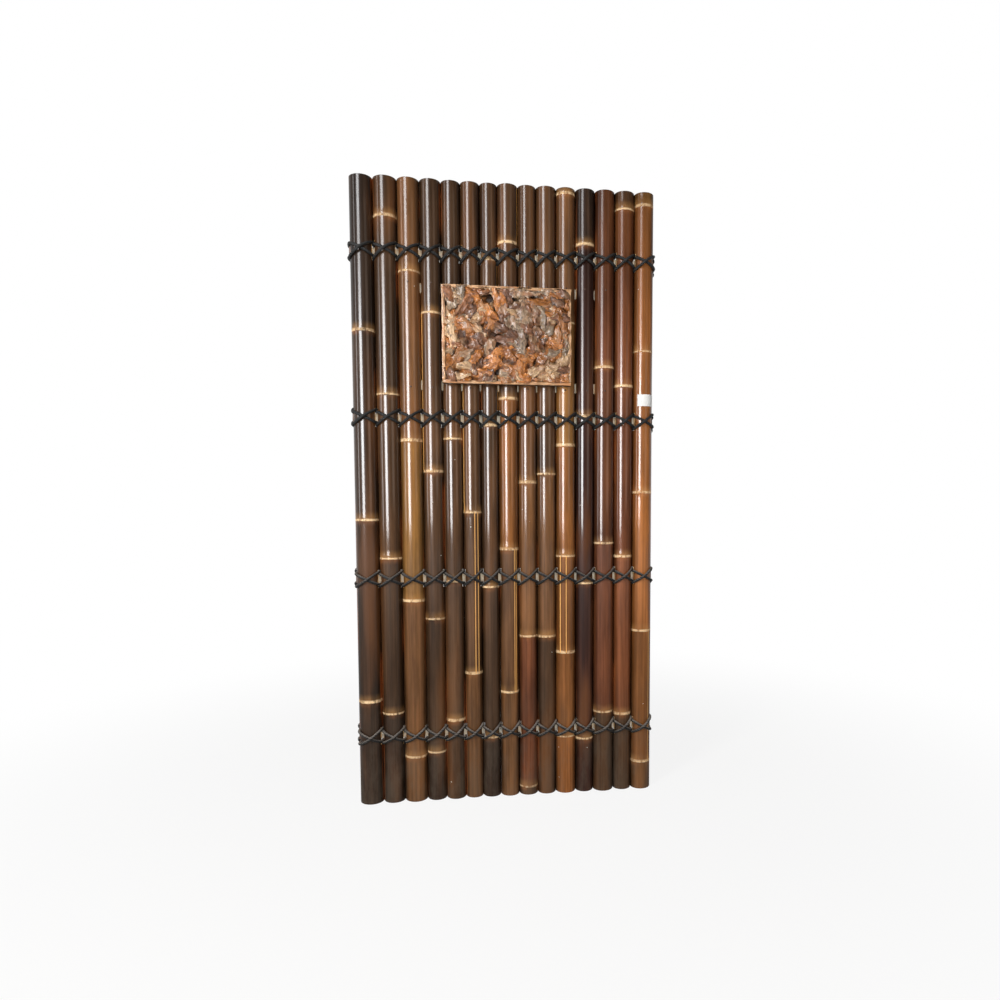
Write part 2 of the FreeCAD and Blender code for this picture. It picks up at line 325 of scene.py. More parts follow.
def cane_skin(number, axis, diameter, nodes):
    """Rings drawn up the cane from a circle, swollen at the nodes, closed and split at the back."""
    stations = [(0.0, -SOFT_END), (SOFT_END, 0.0)]
    for node in nodes:
        for rise, proud in NODE_PROFILE:
            stations.append((node + rise / 1000, proud / 1000))
    stations = [s for s in stations if s[0] < PANEL_HEIGHT - TOP_CLEAR]
    stations += [(PANEL_HEIGHT - SOFT_END, 0.0), (PANEL_HEIGHT, -SOFT_END)]
    sizes = []
    for height, proud in stations:
        base = cane_radius(number, diameter, height) + SKIN_EASE
        sizes.append((height, base + min(proud, 0.0), base + proud))
    bpy.ops.object.select_all(action="DESELECT")
    foot = (axis, SPLIT, 0)
    bpy.ops.mesh.primitive_circle_add(vertices=SKIN_SIDES, radius=sizes[0][1], location=foot)
    cane = bpy.context.object
    bpy.ops.object.mode_set(mode="EDIT")
    bpy.ops.mesh.select_all(action="SELECT")
    for before, after in zip(sizes, sizes[1:]):
        step = {"value": (0, 0, after[0] - before[0])}
        bpy.ops.mesh.extrude_region_move(TRANSFORM_OT_translate=step)
        grow = (after[1] / before[1], after[2] / before[2], 1)
        bpy.ops.transform.resize(value=grow, center_override=(axis, SPLIT, after[0]))
    bpy.ops.mesh.edge_face_add()
    bpy.ops.mesh.select_all(action="DESELECT")
    bpy.ops.object.mode_set(mode="OBJECT")
    for vertex in cane.data.vertices:
        vertex.select = vertex.co.z < 1e-5
    bpy.ops.object.mode_set(mode="EDIT")
    bpy.ops.mesh.select_mode(type="VERT")
    bpy.ops.mesh.edge_face_add()
    bpy.ops.mesh.select_all(action="SELECT")
    bpy.ops.mesh.normals_make_consistent(inside=False)
    bpy.ops.mesh.bisect(plane_co=foot, plane_no=(0, 1, 0), use_fill=True, clear_outer=True)
    bpy.ops.object.mode_set(mode="OBJECT")
    bpy.ops.object.transform_apply(location=True, rotation=True, scale=True)
    return cane


def cane_cuts(number, axis, diameter, nodes):
    """Tool for the hollows between the septa, with rounded ends, and for the saw cuts at the rows."""
    levels = [-END_MARGIN] + nodes + [PANEL_HEIGHT + END_MARGIN]
    bpy.ops.object.select_all(action="DESELECT")
    for index, (low, high) in enumerate(zip(levels, levels[1:])):
        depth = high - low - SEPTUM
        radius = cane_radius(number, diameter, low + (high - low) / 2) - WALL
        middle = (axis, SPLIT, low + SEPTUM / 2 + depth / 2)
        bpy.ops.mesh.primitive_cylinder_add(
            vertices=HOLLOW_SIDES, radius=radius, depth=depth, location=middle
        )
        if index == 0:
            tool = bpy.context.object
            bpy.ops.object.mode_set(mode="EDIT")
    bpy.ops.mesh.select_all(action="DESELECT")
    bpy.ops.mesh.select_mode(type="EDGE")
    bpy.ops.mesh.edges_select_sharp(sharpness=1.0)
    bpy.ops.mesh.bevel(offset=HOLLOW_ROUND, segments=3)
    half = diameter / 2000 + VALLEY_GAP / 2
    for side in (-1, 1):
        cuts = [(row, 2 * NOTCH_REACH, 2 * NOTCH_HALF) for row in ROWS]
        if SLOT_FIRST <= number + min(side, 0) < SLOT_LAST:
            cuts += [(level, SLOT_WIDTH, SLOT_HEIGHT) for level in SLOT_LEVELS]
        for level, wide, tall in cuts:
            valley = (axis + side * half, SPLIT, level)
            size = (wide, diameter / 1000, tall)
            bpy.ops.mesh.primitive_cube_add(size=1, location=valley, scale=size)
    bpy.ops.object.mode_set(mode="OBJECT")
    return tool


def mark_cane(cane, number, axis, diameter, nodes, stains):
    """Write on each face corner the stain, the way to the nodes and the place across the cane."""
    mesh = cane.data
    mesh.attributes.new("stain", "FLOAT_COLOR", "CORNER")
    for name in ("span", "girth", "groove"):
        mesh.attributes.new(name, "FLOAT_VECTOR", "CORNER")
    stain, span, girth, groove = (
        mesh.attributes[name].data for name in ("stain", "span", "girth", "groove")
    )
    levels = [-NOWHERE] + nodes + [NOWHERE]
    for face in mesh.polygons:
        centre = face.center
        radius = cane_radius(number, diameter, centre.z)
        out = Vector((centre.x - axis, centre.y - SPLIT, 0))
        facing = face.normal.dot(out.normalized())
        skin = out.length > radius - SKIN_DEPTH and facing > SKIN_FACING
        face.material_index = 0 if skin else 1
        length = sum(1 for node in nodes if node < centre.z)
        low, high = levels[length], levels[length + 1]
        seed = number * 0.37 + length * 0.73
        for corner in face.loop_indices:
            point = mesh.vertices[mesh.loops[corner].vertex_index].co
            stain[corner].color = STAINS[stains[length]]
            span[corner].vector = (point.z - low, high - point.z, seed)
            girth[corner].vector = ((point.x - axis) / radius, (SPLIT - point.y) / radius, number)
            groove[corner].vector = GROOVES.get((number, length), NO_GROOVE)


def relief_bump(height, distance, strength=1.0):
    """Bumps of a height's shape, to link to a finish's Normal."""
    inputs = {"Height": height, "Distance": distance, "Strength": strength}
    return height.node("Bump", inputs)


def chance(seed):
    """A random value that stays the same for a seed."""
    return seed.node("TexWhiteNoise", {"W": seed}, out="Value", noise_dimensions="1D")


# The lacquered skin: stain with fibre streaks and clouds, and painted shade that darkens it into the
# valleys.
lacquer, shader, place = finish("lacquered_bamboo", 0.42, 0.9, 0.1)
shader.inputs["Specular IOR Level"].default_value = 0.06
shader.inputs["Coat IOR"].default_value = 1.45
height = place.part(2)
rightward = place.part(0).ramp(0.1, 0.32)
above, below, seed = (place.kept("span").part(k) for k in range(3))
girth = place.kept("girth").part(0)
fibre = noise(place, (900, 900, 9), 4.0, 0.6)
mottle = noise(place, (34, 34, 4.5), 4.0, 0.6)
patch = noise(place, (14, 14, 2.2), 2.0, 0.5)
streak = noise(place, (150, 150, 1.6), 3.0, 0.6)
tone = fibre.ramp(0.25, 0.75, 0.86, 1.14) * streak.ramp(0.25, 0.75, 0.74, 1.26)
tone = tone * mottle.ramp(0.25, 0.75, 0.72, 1.3) * patch.ramp(0.3, 0.7, 0.8, 1.2)
# Painted shade: the upper part of the canes on the right is made darker.
tone = tone * (1.0 - rightward * height.ramp(1.36, 1.6, 0.0, 0.5))
# Painted shade: each cane is a little lighter at its crown and darker towards the valleys at its sides.
tone = tone * abs(girth).ramp(0.45, 0.98, 1.12, 0.5)
# Painted shade: darker towards the top and towards the foot of the panel.
tone = tone * height.ramp(1.45, 1.8, 1.0, 0.85) * height.ramp(0.1, 0.9, 0.86, 1.0)
skin = place.kept("stain", "Color").tinted(tone)
skin = skin.mix(srgb(132, 81, 41), patch.ramp(0.5, 0.75) * 0.35)
# Painted glow: a warm orange tone laid in patches along both edges of each cane.
edge_glow = abs(girth).ramp(0.80, 0.97) * noise(place, (20, 20, 3.5), 2.0).ramp(0.52, 0.7)
skin = skin.mix(srgb(183, 100, 49), edge_glow * 0.45)
# Pale bloom above each node, a warm tone under it, and the scraped ring on it.
wobble = (noise(place, (70, 70, 20), 2.0) - 0.5) * 0.004
bloom = (above + wobble).ramp(0.001, 0.028, 1.0, 0.0) * mottle.ramp(0.3, 0.65, 0.15, 0.75)
skin = skin.mix(srgb(193, 142, 85), bloom * 0.55)
under = (below + wobble).ramp(0.0, 0.02, 1.0, 0.0) * mottle.ramp(0.35, 0.7, 0.0, 0.5)
skin = skin.mix(srgb(161, 100, 54), under)
ring = (above + wobble * 0.6) / chance(seed).ramp(0.0, 1.0, 0.6, 1.6)
ring = ring.ramp(0.0018, 0.0052, 1.0, 0.0)
ring = ring.most((below + wobble * 0.6).ramp(0.0012, 0.0042, 1.0, 0.0))
broken = noise(place, (120, 120, 60), 3.0).ramp(0.32, 0.56, 0.15, 1.0)
bright = chance(seed * 3.1).ramp(0.0, 1.0, 0.5, 1.0)
skin = skin.mix(srgb(242, 207, 161), ring * broken * bright)
# Pale groove lines, dust towards the foot and a few pale specks.
first, second, strength = (place.kept("groove").part(k) for k in range(3))
lines = [abs(girth - line + wobble * 3.0).ramp(0.02, 0.055, 1.0, 0.0) for line in (first, second)]
lines = lines[0].most(lines[1]) * strength
skin = skin.mix(srgb(249, 185, 105), lines)
dust = height.ramp(0.02, 0.42, 1.0, 0.0)
dust = dust * noise(place, (26, 26, 9), 4.0, 0.65).ramp(0.36, 0.66)
skin = skin.mix(srgb(95, 85, 73), dust * 0.3)
cells = {"Vector": place, "Scale": 46.0}
rare = place.node("TexVoronoi", cells, out="Color").part(0).ramp(0.955, 0.965)
specks = place.node("TexVoronoi", cells).ramp(0.045, 0.075, 1.0, 0.0) * rare
skin = skin.mix(srgb(250, 250, 234), specks * 0.8)
feed(shader, "Base Color", skin)
# The lacquer is worn off the rings and lines and thinner towards the foot and the top.
worn = ring.most(lines)
feed(shader, "Roughness", mottle.ramp(0.2, 0.8, 0.32, 0.5) + worn * 0.2 + dust * 0.25)
gloss = mottle.ramp(0.2, 0.8, 0.9, 0.7) * height.ramp(0.35, 0.95, 0.2, 1.0)
gloss = gloss * height.ramp(1.22, 1.62, 1.0, 0.5)
gloss = gloss * (1.0 - rightward * height.ramp(1.2, 1.45, 0.0, 0.6))
feed(shader, "Coat Weight", (1.0 - (worn * 0.6).most(dust * 0.5)) * gloss)
sway = noise(place, (16, 16, 3), 1.0) - lines * 0.3
feed(shader, "Normal", relief_bump(sway, 0.0008, 0.25))

# The raw inside: pale fibres with brown blots, stained along the rim of the split.
raw, shader, place = finish("split_bamboo", 0.7)
fibre = noise(place, (700, 700, 14), 4.0, 0.65)
blot = noise(place, (30, 30, 8), 3.0)
wood = fibre.ramp(0.3, 0.7).between(srgb(205, 163, 110), srgb(250, 217, 161))
wood = wood.mix(srgb(137, 100, 66), blot.ramp(0.52, 0.78) * 0.6)
rim = abs(place.kept("girth").part(0)).ramp(0.86, 0.98)
sideways = abs(place.node("NewGeometry", out="Normal").part(0))
rim = rim * sideways.ramp(0.4, 0.8, 1.0, 0.0)
wood = wood.mix(srgb(85, 59, 44), rim * 0.75)
feed(shader, "Base Color", wood)
feed(shader, "Roughness", blot.ramp(0.3, 0.7, 0.62, 0.8))
feed(shader, "Normal", relief_bump(fibre, 0.0006, 0.7))

for number, (diameter, shares, stains, slot) in enumerate(CULMS, 1):
    axis = axes[number - 1]
    nodes = [PANEL_HEIGHT * share / 1000 for share in shares]
    cane = cane_skin(number, axis, diameter, nodes)
    tool = cane_cuts(number, axis, diameter, nodes)
    cut = cane.modifiers.new("cuts", "BOOLEAN")
    cut.operation, cut.solver, cut.object = "DIFFERENCE", "EXACT", tool
    apply_all(cane)
    bpy.data.objects.remove(tool)
    cane.name = "cane_%02d" % number
    mark_cane(cane, number, axis, diameter, nodes, stains)
    cane.data.materials.append(lacquer)
    cane.data.materials.append(raw)
    alone(cane)
    bpy.ops.object.shade_smooth_by_angle(angle=math.radians(38))
    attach(cane, "root")
    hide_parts("culm_%02d" % number)


# Battens: six flat slats of pale dry bamboo wood lie across the split faces. The four long ones
# are held by the lashing and the two short ones by nails; edges are eased and the faces uneven.
SLAT_CUTS, SLAT_EASE, SLAT_UNEVEN = 30, 0.0014, 0.0004
END_STAIN_FROM, END_STAIN_TO = 0.422, 0.434
pale, shader, place = finish("pale_slat", 0.62)
grain = noise(place, (10, 500, 420), 4.0, 0.6)
blot = noise(place, (16, 60, 60), 3.0)
wood = grain.ramp(0.3, 0.7).between(srgb(243, 233, 208), srgb(252, 248, 236))
wood = wood.mix(srgb(176, 142, 100), blot.ramp(0.58, 0.84) * 0.5)
wood = wood.mix(srgb(78, 54, 38), abs(place.part(0)).ramp(END_STAIN_FROM, END_STAIN_TO))
feed(shader, "Base Color", wood)
feed(shader, "Roughness", blot.ramp(0.3, 0.7, 0.55, 0.72))
feed(shader, "Normal", relief_bump(grain, 0.0005, 0.6))


def plank(name, node, cuts, ease, uneven, seed):
    """Bevelled, slightly uneven wooden strip in a CAD node's place, divided along its length."""
    low, high = (Vector(corner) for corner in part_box(node))
    size = high - low
    bpy.ops.object.select_all(action="DESELECT")
    bpy.ops.mesh.primitive_cube_add(size=1, location=(low + high) / 2, scale=size)
    piece = bpy.context.object
    bpy.ops.object.transform_apply(location=True, rotation=True, scale=True)
    along = max(range(3), key=lambda k: size[k])
    normal = [float(k == along) for k in range(3)]
    bpy.ops.object.mode_set(mode="EDIT")
    for step in range(1, cuts):
        bpy.ops.mesh.select_all(action="SELECT")
        bpy.ops.mesh.bisect(plane_co=low + size * step / cuts, plane_no=normal)
    bpy.ops.mesh.select_all(action="SELECT")
    bpy.ops.transform.vertex_random(offset=uneven, seed=seed)
    bpy.ops.object.mode_set(mode="OBJECT")
    edges = piece.modifiers.new("edges", "BEVEL")
    edges.width, edges.segments, edges.limit_method = ease, 2, "ANGLE"
    edges.angle_limit = math.radians(50)
    apply_all(piece)
    bpy.ops.object.shade_smooth_by_angle(angle=math.radians(35))
    piece.name = name
    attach(piece, "root")
    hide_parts(node)
    return piece


slats = ["lashing_batten_%d" % row for row in range(1, len(ROWS) + 1)]
slats += ["relief_batten_lower", "relief_batten_upper"]
for index, node in enumerate(slats):
    slat = plank("slat_" + node, node, SLAT_CUTS, SLAT_EASE, SLAT_UNEVEN, index)
    slat.data.materials.append(pale)


# Lashing: two ropes of black palm fibre to each row, laid in three strands. Each goes aslant over
# every cane, in through the saw cuts and behind the slat, so that they cross on the canes' crowns.
ROPE_RADIUS, STRAND_RADIUS, ROPE_LAY = 0.0045, 0.0027, 0.024
ROPE_STRANDS = 3
UNDER_RISE, OVER_RISE = 0.0160, 0.0218
UNDER_BACK, OVER_BACK = 0.0135, 0.0201
OVER_LIFT, CROSSING_HALF = 0.0077, 0.009
CROWN_HALF = math.radians(20)
SKIN_SLACK, CUT_DEPTH, BACK_DROP = 0.0003, 0.002, 0.005
ROPE_EDGE = -axes[0] + CULMS[0][0] / 2000 + VALLEY_GAP / 2


def smooth_line(points, closed=False):
    """Points along the smooth NURBS line that a route's control points give."""
    curve = bpy.data.curves.new("route", "CURVE")
    curve.dimensions = "3D"
    spline = curve.splines.new("NURBS")
    spline.points.add(len(points) - 1)
    for point, place in zip(spline.points, points):
        point.co = (*place, 1.0)
    spline.use_cyclic_u = closed
    spline.order_u = 3
    spline.use_endpoint_u = not closed
    spline.resolution_u = 11
    holder = bpy.data.objects.new("route", curve)
    scene.collection.objects.link(holder)
    mesh = bpy.data.meshes.new_from_object(holder)
    line = [vertex.co.copy() for vertex in mesh.vertices]
    bpy.data.objects.remove(holder)
    bpy.data.curves.remove(curve)
    bpy.data.meshes.remove(mesh)
    return line


def rope(name, line):
    """Strands twisted round a line."""
    curve = bpy.data.curves.new(name, "CURVE")
    curve.dimensions = "3D"
    curve.bevel_depth = STRAND_RADIUS
    curve.bevel_resolution = 1
    curve.use_fill_caps = True
    side, run = None, 0.0
    frames = []
    for index, point in enumerate(line):
        ahead = line[min(index + 1, len(line) - 1)] - line[max(index - 1, 0)]
        ahead.normalize()
        side = ahead.orthogonal() if side is None else side - ahead * side.dot(ahead)
        side.normalize()
        if index:
            run += (point - line[index - 1]).length
        frames.append((point, side.copy(), ahead.cross(side), run))
    for strand in range(ROPE_STRANDS):
        spline = curve.splines.new("POLY")
        spline.points.add(len(frames) - 1)
        for slot, (point, across, up, run) in zip(spline.points, frames):
            turn = 2 * math.pi * (run / ROPE_LAY + strand / ROPE_STRANDS)
            off = across * math.cos(turn) + up * math.sin(turn)
            slot.co = (*(point + off * (ROPE_RADIUS - STRAND_RADIUS)), 1.0)
    made = bpy.data.objects.new(name, curve)
    scene.collection.objects.link(made)
    alone(made)
    bpy.ops.object.convert(target="MESH")
    made = bpy.context.object
    bpy.ops.object.shade_smooth()
    return made


def route(row, rise, back, lift, slant):
    """Control points of one rope, from the left end of the slat to the right end."""
    points = [
        (-ROPE_EDGE, SPLIT + back, row - slant * rise),
        (-ROPE_EDGE, SPLIT + back, row + slant * (rise + BACK_DROP)),
        (-ROPE_EDGE, SPLIT + CUT_DEPTH, row + slant * rise),
    ]
    for number, (diameter, shares, stains, slot) in enumerate(CULMS, 1):
        axis, half = axes[number - 1], diameter / 2000 + VALLEY_GAP / 2
        left, right = axis - half, axis + half
        snug = cane_radius(number, diameter, row) + ROPE_RADIUS + SKIN_SLACK
        crown = snug + lift
        bend = CROSSING_HALF if lift else snug * math.tan(CROWN_HALF)
        turn = math.atan2(bend, crown) + math.acos(min(1.0, snug / math.hypot(bend, crown)))
        for x in (left, axis - bend, axis + bend, right):
            forward = crown - max(0.0, abs(x - axis) - bend) * math.tan(turn)
            along = (x - left) / (right - left)
            points.append((x, SPLIT - forward, row + slant * rise * (1 - 2 * along)))
        points.append((right, SPLIT + CUT_DEPTH, row - slant * rise))
        points.append((right, SPLIT + back, row - slant * (rise + BACK_DROP)))
        last = number == len(CULMS)
        points.append((right, SPLIT + back, row + slant * (rise + (0 if last else BACK_DROP))))
        if not last:
            points.append((right, SPLIT + CUT_DEPTH, row + slant * rise))
    return points


black, shader, place = finish("palm_fibre", 0.7)
shader.inputs["Specular IOR Level"].default_value = 0.25
fibre = noise(place, 1400, 3.0, 0.7)
fade = noise(place, 38, 3.0)
yarn = fibre.ramp(0.3, 0.75).between(srgb(9, 9, 9), srgb(30, 29, 27))
yarn = yarn.mix(srgb(44, 39, 34), fade.ramp(0.5, 0.8) * 0.4)
upward = place.node("NewGeometry", out="Normal").part(2).ramp(0.15, 0.85)
dust = place.part(2).ramp(0.5, 0.95, 1.0, 0.04) * upward * fade.ramp(0.25, 0.6, 0.4, 1.0)
yarn = yarn.mix(srgb(156, 146, 137), dust * 0.65)
feed(shader, "Base Color", yarn)
feed(shader, "Roughness", fade.ramp(0.3, 0.7, 0.55, 0.8))
feed(shader, "Normal", relief_bump(fibre, 0.0005, 0.8))

ROPES = [
    ("under", UNDER_RISE, UNDER_BACK, 0.0, 1),
    ("over", OVER_RISE, OVER_BACK, OVER_LIFT, -1),
]
for index, row in enumerate(ROWS, 1):
    for name, rise, back, lift, slant in ROPES:
        line = smooth_line(route(row, rise, back, lift, slant))
        lashing = rope("%s_rope_%d" % (name, index), line)
        lashing.data.materials.append(black)
        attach(lashing, "root")
        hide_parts("%s_cord_%d" % (name, index))


# Knots: each rope ends in a stopper knot drawn tight against the back of its slat.
# The knot is tied from the same three-strand palm fibre.
KNOT = [
    (0.0, 0.0, -0.0058), (0.0052, -0.0030, -0.0018), (0.0046, 0.0034, 0.0044),
    (-0.0024, 0.0036, 0.0054), (-0.0058, -0.0032, 0.0006), (-0.0020, -0.0036, -0.0050),
    (0.0050, 0.0032, -0.0040), (0.0056, 0.0032, 0.0030), (-0.0006, -0.0034, 0.0062),
    (-0.0060, 0.0012, 0.0024), (-0.0044, 0.0034, -0.0040),
]
knot = rope("knot", smooth_line(KNOT, closed=True))
knot.data.materials.append(black)
ends = [(side, kind) for side in (-1, 1) for kind in ROPES]
for index, row in enumerate(ROWS, 1):
    for number, (side, (name, rise, back, lift, slant)) in enumerate(ends, 1):
        copy = knot.copy()
        copy.data = knot.data.copy()
        scene.collection.objects.link(copy)
        place = Vector((side * ROPE_EDGE, SPLIT + back, row + side * slant * rise))
        turn = Matrix.Rotation(math.radians(40 * side * slant + 70 * index), 4, "Y")
        copy.data.transform(Matrix.Translation(place) @ turn)
        copy.name = "knot_%d_%d" % (index, number)
        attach(copy, "root")
bpy.data.objects.remove(knot)


# Relief: a board on the canes' crowns carries a frame of rough strips and a field of split root
# wood. The chips are glued down crossing and leaning on each other and are lacquered.
board_low, board_high = (Vector(corner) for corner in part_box("relief_board"))
BOARD_FRONT = board_low.y
BOARD_CUTS, BOARD_EASE, BOARD_UNEVEN = 12, 0.0012, 0.0003
STRIP_CUTS, STRIP_EASE, STRIP_UNEVEN = 16, 0.0016, 0.0018
# The dark and the light colour of each wood's grain.
ROOT_COLOURS = {
    "root_brown": (srgb(73, 46, 33), srgb(159, 107, 73)),
    "root_orange": (srgb(132, 73, 32), srgb(234, 151, 73)),
    "root_tan": (srgb(149, 112, 81), srgb(246, 207, 161)),
    "root_grey": (srgb(102, 84, 68), srgb(200, 173, 144)),
    "strip": (srgb(142, 98, 63), srgb(232, 185, 137)),
    "relief_board": (srgb(63, 41, 29), srgb(107, 71, 46)),
}


def root_wood(name, dark, light):
    """Lacquered root wood; its grain and tint follow each chip."""
    material, shader, place = finish("wood_" + name, 0.45, 0.22, 0.1)
    shader.inputs["Specular IOR Level"].default_value = 0.25
    grain_place = place.kept("grain")
    lines = noise(grain_place, (40, 300, 300), 5.0, 0.65)
    swirl = noise(grain_place, (36, 80, 80), 4.0, 0.6)
    hue = noise(grain_place, (16, 40, 40), 2.0)
    cloud = noise(place, 34, 2.0)
    wood = lines.ramp(0.3, 0.7).between(dark, light)
    wood = wood.mix(srgb(205, 127, 66), hue.ramp(0.5, 0.68) * 0.42)
    wood = wood.mix(srgb(181, 146, 110), cloud.ramp(0.52, 0.68) * 0.45)
    wood = wood.mix(srgb(127, 81, 56), cloud.ramp(0.48, 0.34) * 0.5)
    wood = wood.mix(srgb(41, 27, 20), swirl.ramp(0.55, 0.7) * 0.85)
    proud = BOARD_FRONT - place.part(1)
    # Painted shade: the wood is darker the nearer it lies to the board, deep in the hollows between the
    # chips.
    wood = wood.tinted(place.kept("tint", "Fac") * proud.ramp(0.002, 0.016, 0.26, 1.06))
    feed(shader, "Base Color", wood)
    feed(shader, "Roughness", swirl.ramp(0.3, 0.7, 0.3, 0.52))
    feed(shader, "Normal", relief_bump(lines * 0.5 - swirl * 2.0, 0.0028, 1.0))
    return material


woods = {name: root_wood(name, *pair) for name, pair in ROOT_COLOURS.items()}


def mark_grain(piece, tint, along, shift):
    """Keep on each vertex the piece's own tint and where it lies along the grain."""
    mesh = piece.data
    mesh.attributes.new("grain", "FLOAT_VECTOR", "POINT")
    mesh.attributes.new("tint", "FLOAT", "POINT")
    grains, tints = (mesh.attributes[name].data for name in ("grain", "tint"))
    for vertex, grain, shade in zip(mesh.vertices, grains, tints):
        point = vertex.co
        across, through = point[(along + 1) % 3], point[(along + 2) % 3]
        grain.vector = (point[along] + shift, across, through + shift)
        shade.value = tint


board = plank("backing_board", "relief_board", BOARD_CUTS, BOARD_EASE, BOARD_UNEVEN, 11)
mark_grain(board, 1.0, 0, 0.3)
board.data.materials.append(woods["relief_board"])
for index, side in enumerate(("bottom", "top", "left", "right")):
    node = "relief_strip_" + side
    strip = plank("edge_strip_" + side, node, STRIP_CUTS, STRIP_EASE, STRIP_UNEVEN, 20 + index)
    mark_grain(strip, 1.0, 0 if index < 2 else 2, 0.11 * index)
    strip.data.materials.append(woods["strip"])

RIM_LEAST, RIM_MOST = 0.003, 0.010
FREE_DEPTH, SOFT_DEPTH, SUNK_DEPTH = 0.015, 0.008, 0.001
CHIP_DEPTH, FILL_DEPTH = 0.012, 0.007
SIDE_CUTS, FACE_CUTS = 7, 2
RIDGE_HEIGHT, RIDGE_SCALE = 0.0055, 0.021
heaps = {name: [] for name in ("root_brown", "root_orange", "root_tan", "root_grey")}
dice = random.Random(11)
ridges = bpy.data.textures.new("root_ridges", "MUSGRAVE")
ridges.musgrave_type = "RIDGED_MULTIFRACTAL"
ridges.noise_scale = RIDGE_SCALE


def split_off(point, normal):
    """Cut away what lies beyond a plane and close the cut."""
    bpy.ops.mesh.select_all(action="SELECT")
    bpy.ops.mesh.bisect(plane_co=point, plane_no=normal, use_fill=True, clear_outer=True)


def shard(length, width, thick, bend=0.0):
    """One chip, split from a billet of root wood by slanting cuts and left lumpy; lies along X."""
    bpy.ops.object.select_all(action="DESELECT")
    bpy.ops.mesh.primitive_cube_add(size=1, scale=(length, thick, width))
    chip = bpy.context.object
    bpy.ops.object.transform_apply(location=True, rotation=True, scale=True)
    bpy.ops.object.mode_set(mode="EDIT")
    for cut in range(SIDE_CUTS):
        turn = 2 * math.pi * (cut + dice.uniform(-0.4, 0.4)) / SIDE_CUTS
        slope = dice.uniform(-0.7, 0.1)
        normal = Vector((math.cos(turn) / length, slope / thick, math.sin(turn) / width))
        normal.normalize()
        reach = (abs(normal.x) * length + abs(normal.y) * thick + abs(normal.z) * width) / 2
        split_off(normal * reach * dice.uniform(0.5, 0.85), normal)
    for cut in range(FACE_CUTS):
        face = Vector((dice.uniform(-0.3, 0.3), -1, dice.uniform(-0.7, 0.7))).normalized()
        split_off(face * thick * dice.uniform(0.26, 0.42), face)
    bpy.ops.mesh.select_all(action="SELECT")
    bpy.ops.mesh.quads_convert_to_tris()
    bpy.ops.object.mode_set(mode="OBJECT")
    finer = chip.modifiers.new("finer", "SUBSURF")
    finer.subdivision_type = "SIMPLE"
    finer.levels = finer.render_levels = 3
    if bend:
        curl = chip.modifiers.new("curl", "SIMPLE_DEFORM")
        curl.deform_method, curl.deform_axis, curl.angle = "BEND", "Y", bend
    lumps = chip.modifiers.new("lumps", "DISPLACE")
    lumps.texture, lumps.strength, lumps.texture_coords = ridges, RIDGE_HEIGHT, "LOCAL"
    apply_all(chip)
    return chip


def lay(chip, colour, u, v, angle, tilt, lean, depth):
    """Put a chip on the board at shares of its width and height, turned, tilted and sunk."""
    # Each chip's tint is random and grows darker from left to right across the relief.
    mark_grain(chip, dice.uniform(0.52, 0.94) * (1.04 - 0.2 * u), 0, dice.uniform(0, 3))
    spot = Vector((
        board_low.x + u * (board_high.x - board_low.x),
        BOARD_FRONT - depth,
        board_high.z - v * (board_high.z - board_low.z),
    ))
    turn = Matrix.Rotation(math.radians(angle), 4, "Y")
    slope = Matrix.Rotation(math.radians(tilt), 4, "X")
    slope = slope @ Matrix.Rotation(math.radians(lean), 4, "Z")
    chip.data.transform(Matrix.Translation(spot) @ turn @ slope)
    rim = dice.uniform(RIM_LEAST, RIM_MOST)
    inside = [(axis, board_low[axis] + rim, board_high[axis] - rim) for axis in (0, 2)]
    for vertex in chip.data.vertices:
        for axis, low, high in inside:
            vertex.co[axis] = min(max(vertex.co[axis], low), high)
        forward = max(BOARD_FRONT - vertex.co.y, -SUNK_DEPTH)
        if forward > FREE_DEPTH:
            forward = FREE_DEPTH + SOFT_DEPTH * math.tanh((forward - FREE_DEPTH) / SOFT_DEPTH)
        vertex.co.y = BOARD_FRONT - forward
    heaps[colour].append(chip)


def joined(pieces, name):
    """Join pieces into one object."""
    bpy.ops.object.select_all(action="DESELECT")
    for piece in pieces:
        piece.select_set(True)
    bpy.context.view_layer.objects.active = pieces[0]
    bpy.ops.object.join()
    whole = bpy.context.object
    whole.name = name
    return whole


